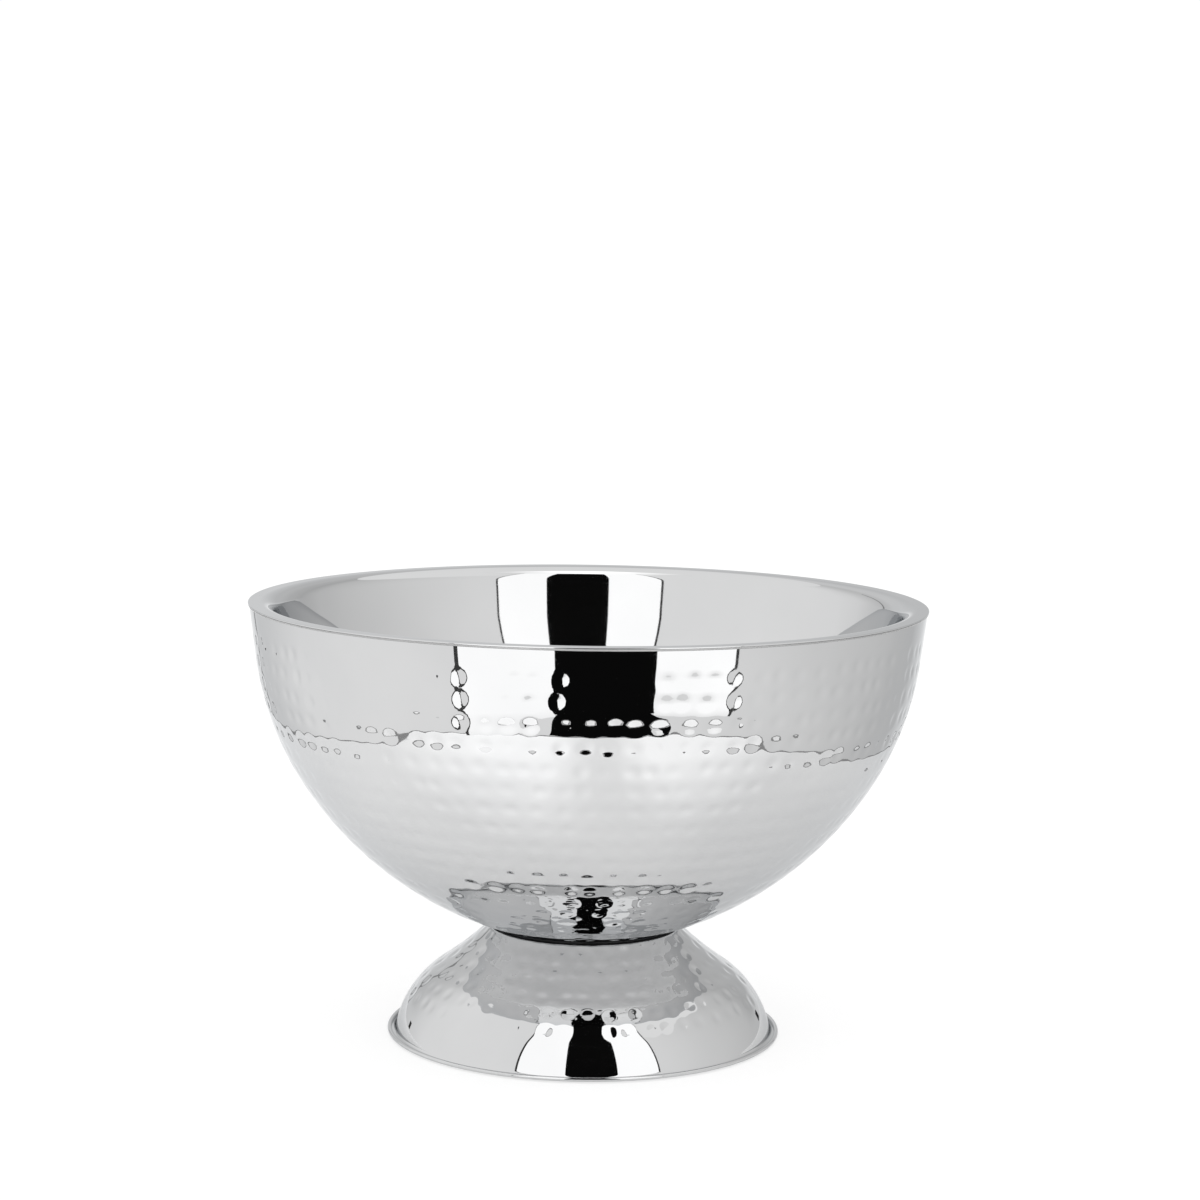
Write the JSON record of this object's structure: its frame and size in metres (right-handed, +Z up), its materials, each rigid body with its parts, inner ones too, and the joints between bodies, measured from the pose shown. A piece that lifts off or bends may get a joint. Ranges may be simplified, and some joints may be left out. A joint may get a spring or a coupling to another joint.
{
  "type": "punch bowl",
  "caption": "Double-wall steel punch bowl: smooth inner bowl with a flat rim, hammered outer shell and a hammered pedestal foot with a rolled edge.",
  "frame": {"origin": "bottom centre: the middle of the circle that the foot's rolled edge stands on", "axes": "+Z up along the axis of the bowl, from the foot to the rim; X and Y are any two level directions, because the bowl is round"},
  "size_m": [0.3799, 0.38, 0.245],
  "materials": {
    "mirror_steel": "mirror-polished stainless steel, smooth, faint turning marks",
    "hammered_steel": "mirror-polished stainless steel with rows of shallow hammer dimples",
    "weld_steel": "dressed and polished weld bead",
    "plain_steel": "plain machined stainless steel",
    "black_rubber": "matt black moulded rubber"
  },
  "bodies": {
    "root": {"inner_liner": "mirror_steel", "outer_shell": "hammered_steel", "rim_seam_weld": "weld_steel", "pedestal_foot": "hammered_steel", "joint_gasket": "black_rubber", "backing_plate": "plain_steel", "base_stud": "plain_steel", "clamp_washer": "plain_steel", "spring_washer": "plain_steel", "hex_nut": "plain_steel"}
  },
  "joints": []
}
